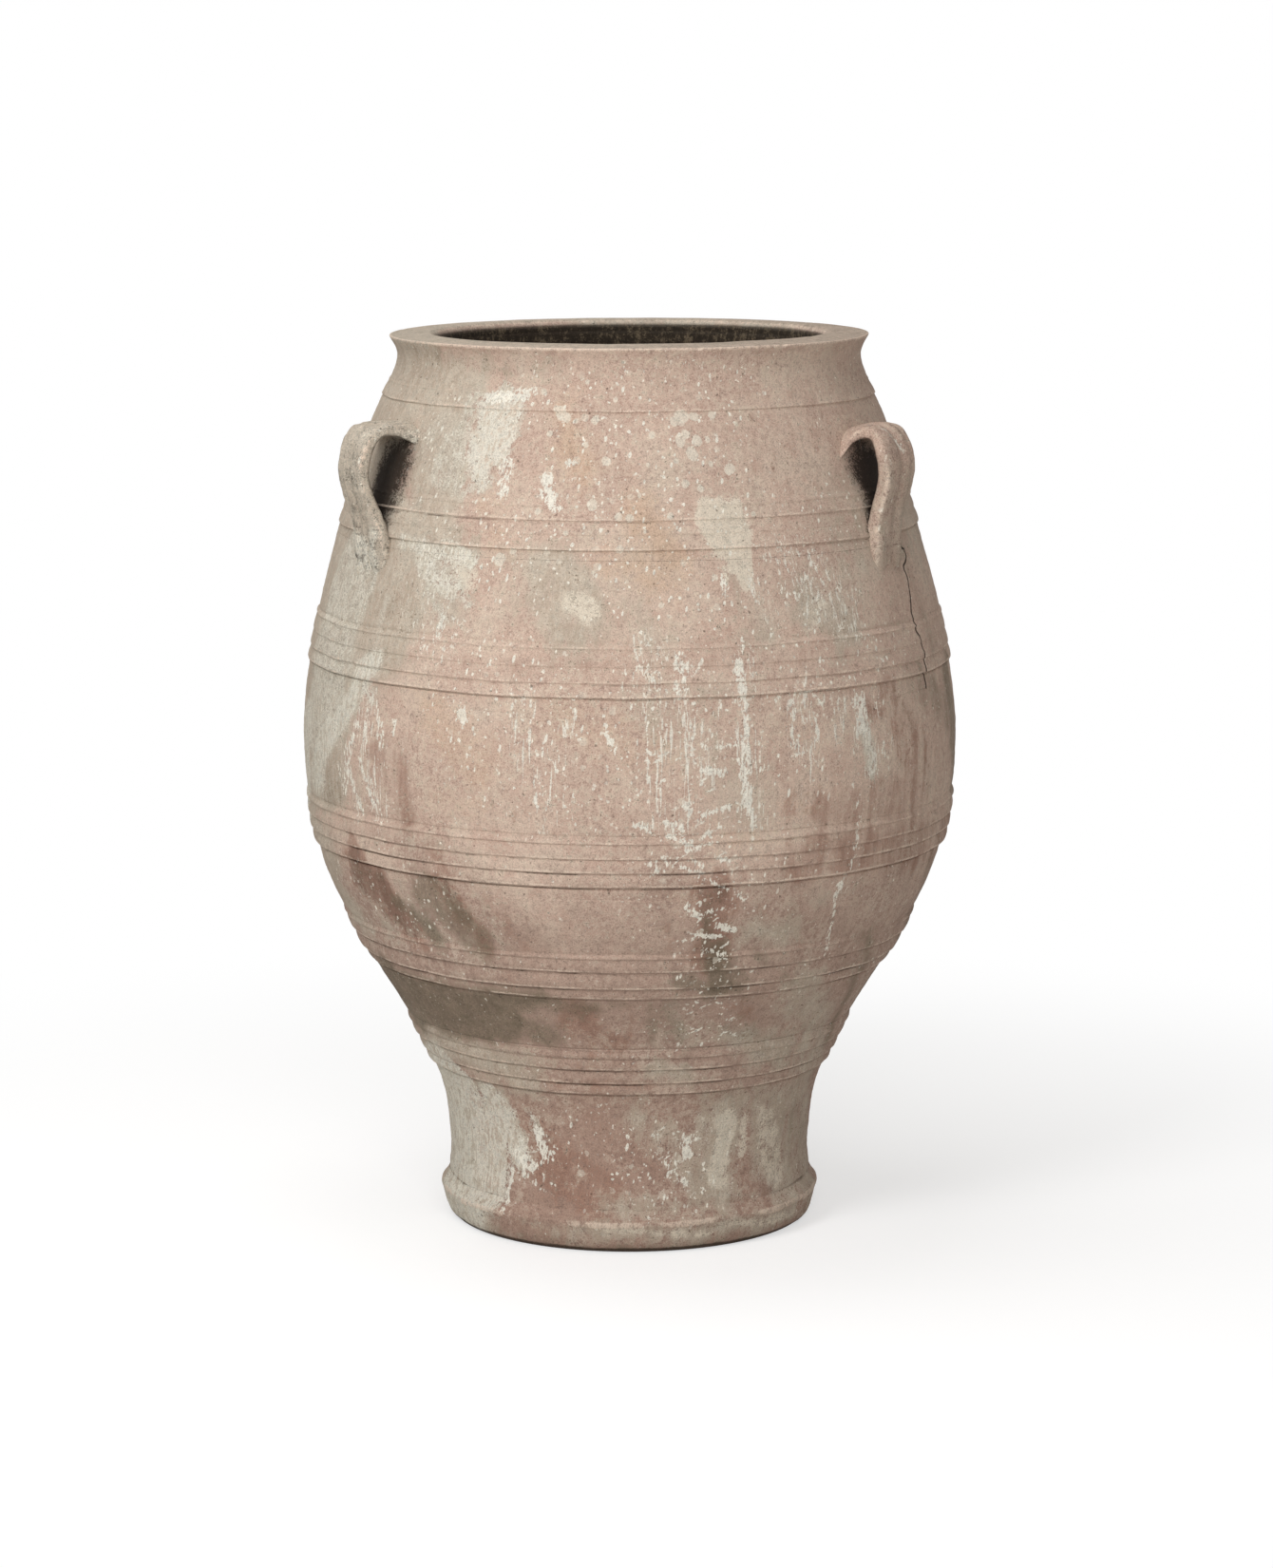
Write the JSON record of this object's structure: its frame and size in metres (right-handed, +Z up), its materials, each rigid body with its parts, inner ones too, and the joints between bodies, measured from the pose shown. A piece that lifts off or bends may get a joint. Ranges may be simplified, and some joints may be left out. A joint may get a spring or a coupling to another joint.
{
  "type": "pithos storage jar",
  "caption": "Large free-standing fired-clay storage jar with a wide mouth, ridged bands, a footed base and strap handles on the shoulder.",
  "frame": {"origin": "centre of the underside of the floor slab, on the ground", "axes": "+Z up along the jar's axis, -Y towards the front, +X to the right seen from the front; the handles stand at 60 degrees right and left of the front and at the back"},
  "size_m": [0.7018, 0.7018, 0.96],
  "materials": {
    "foot_clay": "weathered matt terracotta, red brown under lime film",
    "wall_clay": "weathered matt terracotta, dusty pink with lime stains",
    "band_clay": "weathered matt terracotta with worn pale edges",
    "handle_clay": "weathered matt terracotta under grey-beige lime film",
    "rim_clay": "worn matt terracotta, pale beige on top"
  },
  "bodies": {
    "root": {"floor_slab": "foot_clay", "foot_ring": "foot_clay", "wall_foot": "wall_clay", "wall_flare": "wall_clay", "wall_under_belly": "wall_clay", "wall_belly": "wall_clay", "wall_shoulder": "wall_clay", "wall_upper_shoulder": "wall_clay", "rim_collar": "rim_clay", "band_foot": "band_clay", "band_flare": "band_clay", "band_belly": "band_clay", "band_shoulder": "band_clay", "band_handle": "band_clay", "band_neck": "band_clay", "handle_right": "handle_clay", "handle_back": "handle_clay", "handle_left": "handle_clay"}
  },
  "joints": []
}
